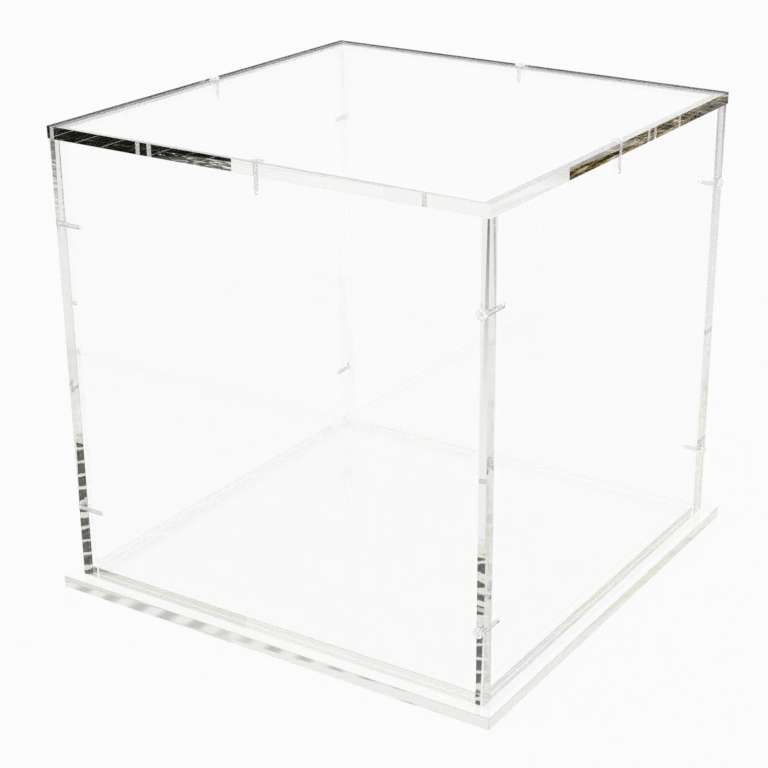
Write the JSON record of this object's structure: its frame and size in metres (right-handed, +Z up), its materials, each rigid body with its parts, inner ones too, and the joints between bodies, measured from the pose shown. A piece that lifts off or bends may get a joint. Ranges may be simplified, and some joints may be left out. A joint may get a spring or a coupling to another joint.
{
  "type": "display box",
  "caption": "Clear acrylic display box: a square lift-off cover of flat panels held by small push pins, standing over a locating plate on a slightly wider base.",
  "frame": {"origin": "centre of the base plate's underside, on the surface that the box stands on", "axes": "+Z up, -Y towards the front panel, +X towards the right panel"},
  "size_m": [0.21, 0.21, 0.2016],
  "materials": {
    "base_sheet": "clear polished acrylic sheet with sawn edges",
    "plate_sheet": "clear polished acrylic sheet with sawn edges",
    "cover_sheet": "clear polished acrylic sheet with finely scored cut edges",
    "top_sheet": "clear polished acrylic sheet with finely scored cut edges",
    "pin_plastic": "clear moulded plastic"
  },
  "bodies": {
    "base": {"base_plate": "base_sheet", "locating_plate": "plate_sheet"},
    "cover": {"front_panel": "cover_sheet", "right_panel": "cover_sheet", "back_panel": "cover_sheet", "left_panel": "cover_sheet", "top_panel": "top_sheet", "corner_pin_front_lower": "pin_plastic", "corner_pin_front_upper": "pin_plastic", "corner_pin_right_lower": "pin_plastic", "corner_pin_right_upper": "pin_plastic", "corner_pin_back_lower": "pin_plastic", "corner_pin_back_upper": "pin_plastic", "corner_pin_left_lower": "pin_plastic", "corner_pin_left_upper": "pin_plastic", "top_pin_front": "pin_plastic", "top_pin_right": "pin_plastic", "top_pin_back": "pin_plastic", "top_pin_left": "pin_plastic"}
  },
  "joints": [
    {"name": "cover_lift", "type": "slide", "parent": "base", "child": "cover", "axis": [0, 0, 1], "range_m": [0, 0.2]}
  ]
}
